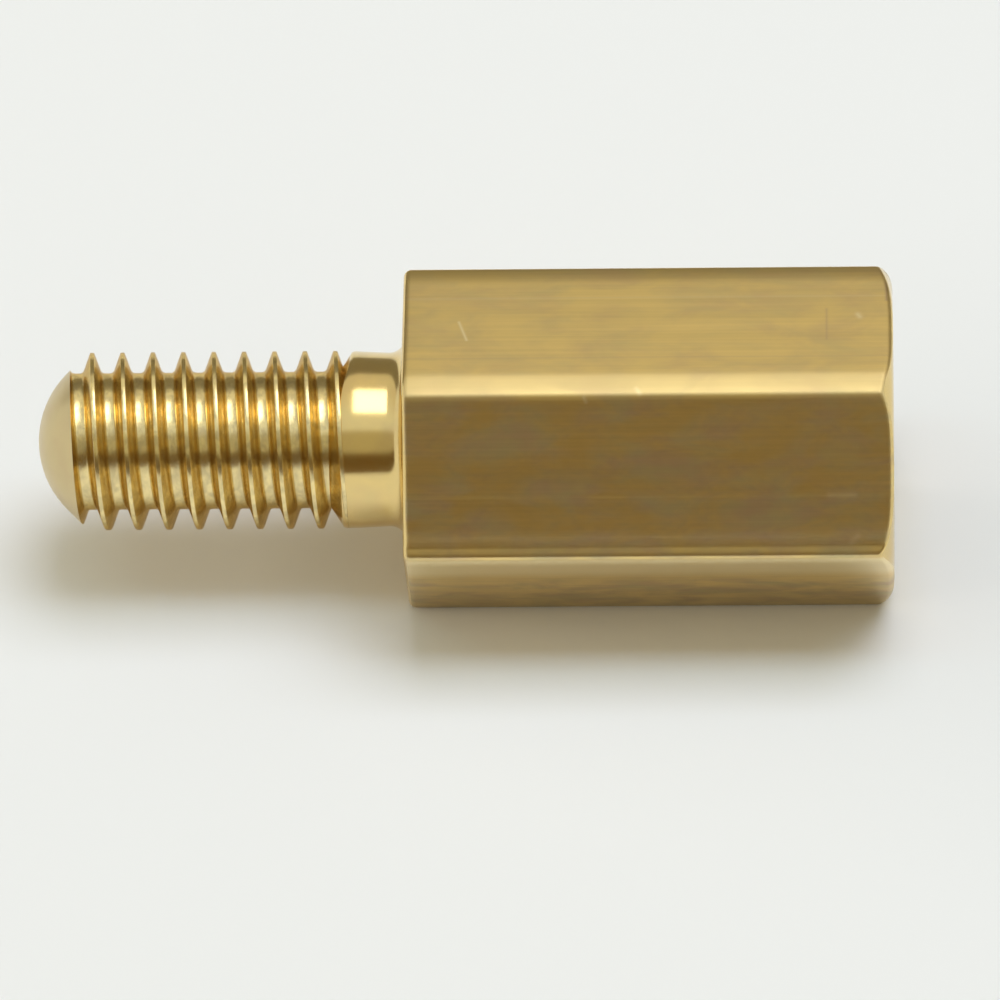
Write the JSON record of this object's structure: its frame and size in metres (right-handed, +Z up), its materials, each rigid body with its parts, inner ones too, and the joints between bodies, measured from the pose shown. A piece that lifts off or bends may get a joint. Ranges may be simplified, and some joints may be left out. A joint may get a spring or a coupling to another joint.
{
  "type": "hex standoff",
  "caption": "Male-female hexagonal brass standoff: a hexagonal body with a tapped hole in one end and a threaded stud on the other.",
  "frame": {"origin": "on the surface that the standoff lies on, under the middle of its whole length", "axes": "+X along the axis, from the stud's tip towards the tapped end; +Z up, square to the flat that it lies on"},
  "size_m": [0.014, 0.0056, 0.005],
  "materials": {
    "brass": "drawn and turned brass, lightly tarnished, with fine draw lines along the flats"
  },
  "bodies": {
    "root": {"standoff": "brass"}
  },
  "joints": []
}
